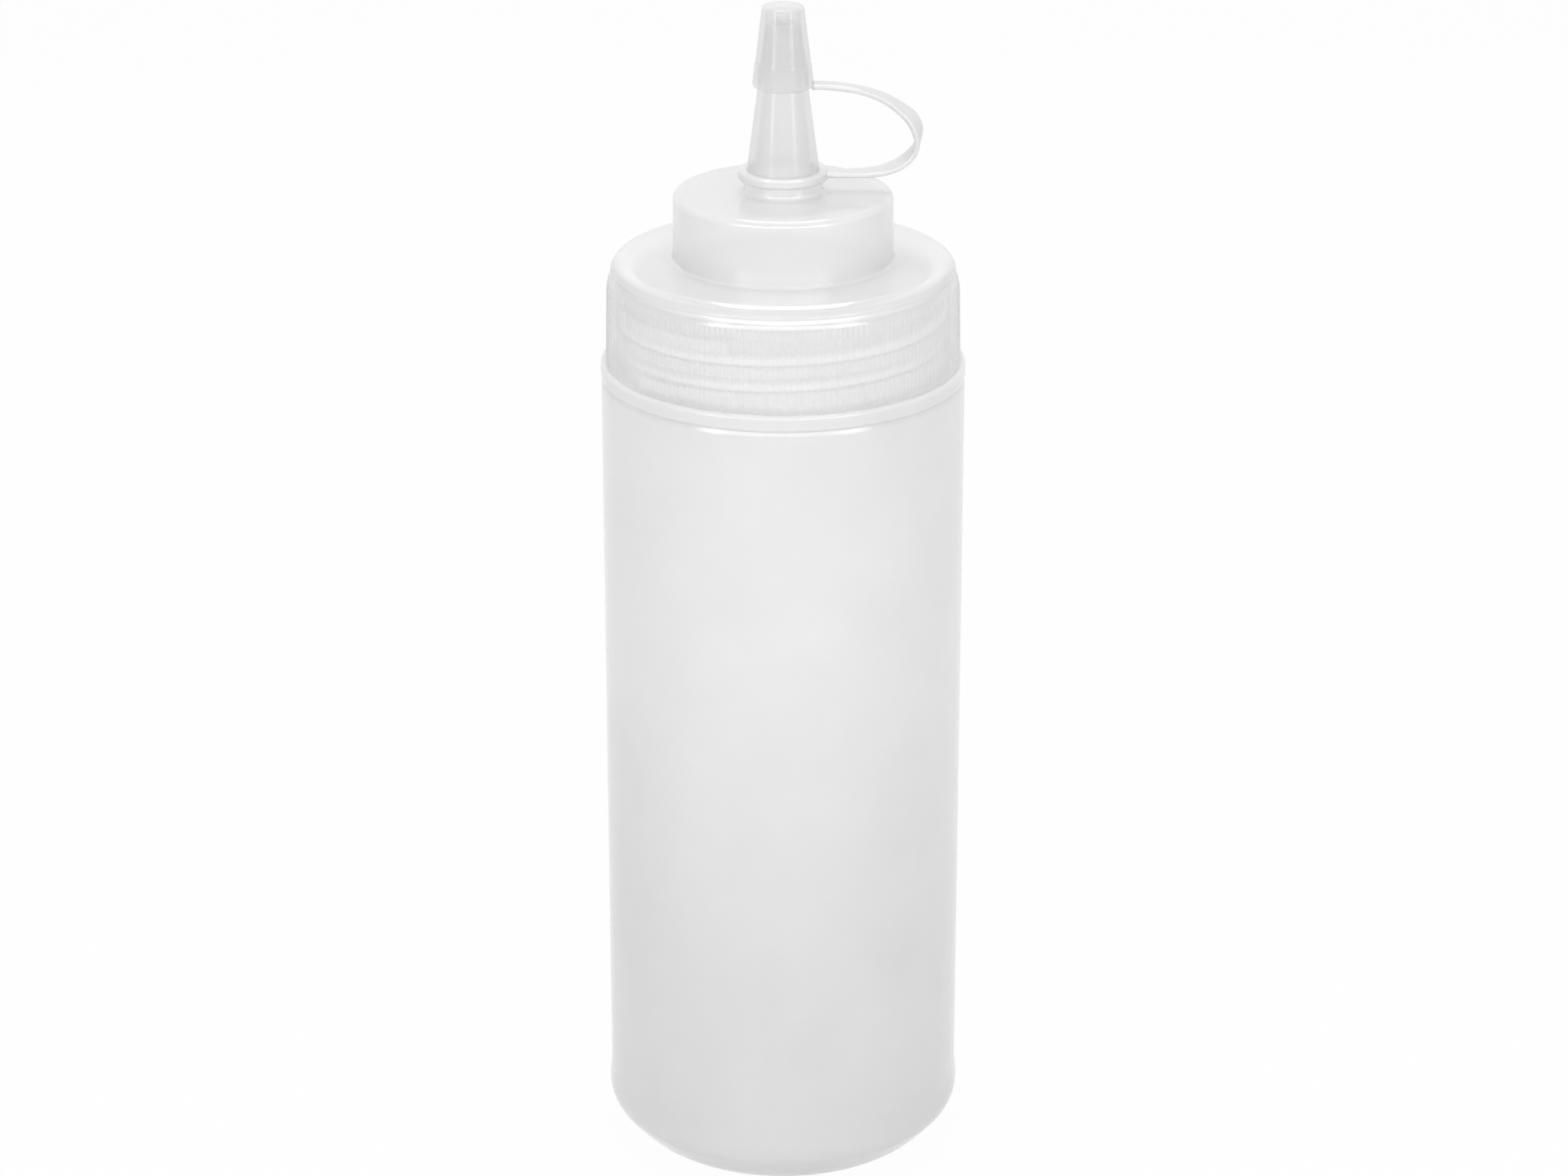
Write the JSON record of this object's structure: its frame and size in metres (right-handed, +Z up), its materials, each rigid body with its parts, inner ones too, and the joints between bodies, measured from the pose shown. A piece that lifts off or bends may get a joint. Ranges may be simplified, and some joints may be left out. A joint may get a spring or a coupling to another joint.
{
  "type": "squeeze sauce dispenser",
  "caption": "Translucent squeeze bottle for sauce with a ribbed screw cap, a cone nozzle and a push-on tip cap held by a bent strap.",
  "frame": {"origin": "centre of the base, on the surface that the bottle stands on", "axes": "+Z up along the bottle's axis, +X towards the strap's loop, -Y the front"},
  "size_m": [0.0706, 0.0706, 0.2336],
  "materials": {
    "bottle_plastic": "satin translucent",
    "cap_plastic": "gloss translucent",
    "tether_plastic": "gloss translucent",
    "washer_rubber": "soft matt"
  },
  "bodies": {
    "bottle": {"bottle": "bottle_plastic"},
    "washer": {"sealing_washer": "washer_rubber"},
    "cap": {"screw_cap": "cap_plastic"},
    "ring": {"tether_ring": "tether_plastic"},
    "lower_strap": {"strap_lower": "tether_plastic"},
    "upper_strap": {"strap_upper": "tether_plastic"},
    "tip_cap": {"tip_cap": "tether_plastic"}
  },
  "joints": [
    {"name": "cap_lift", "type": "slide", "parent": "bottle", "child": "washer", "axis": [0, 0, 1], "range_m": [0, 0.0138]},
    {"name": "cap_turn", "type": "hinge", "parent": "washer", "child": "cap", "pos_m": [0, 0, 0.183], "axis": [0, 0, 1], "range_deg": [0, 990]},
    {"name": "tether_swivel", "type": "hinge", "parent": "cap", "child": "ring", "pos_m": [0, 0, 0.20125], "axis": [0, 0, 1], "continuous": true},
    {"name": "strap_root", "type": "hinge", "parent": "ring", "child": "lower_strap", "pos_m": [0.0096, 0, 0.20125], "axis": [0, -1, 0], "range_deg": [0, 36]},
    {"name": "strap_elbow", "type": "hinge", "parent": "lower_strap", "child": "upper_strap", "pos_m": [0.0251, 0, 0.2098], "axis": [0, -1, 0], "range_deg": [-72, 0]},
    {"name": "tip_cap_pivot", "type": "hinge", "parent": "upper_strap", "child": "tip_cap", "pos_m": [0.0096, 0, 0.21835], "axis": [0, -1, 0], "range_deg": [0, 36]}
  ],
  "couplings": [
    {"joint": "cap_lift", "follows": "cap_turn", "m_per_rad": 0.00079577},
    {"joint": "strap_elbow", "follows": "strap_root", "ratio": -2},
    {"joint": "tip_cap_pivot", "follows": "strap_root", "ratio": 1}
  ]
}
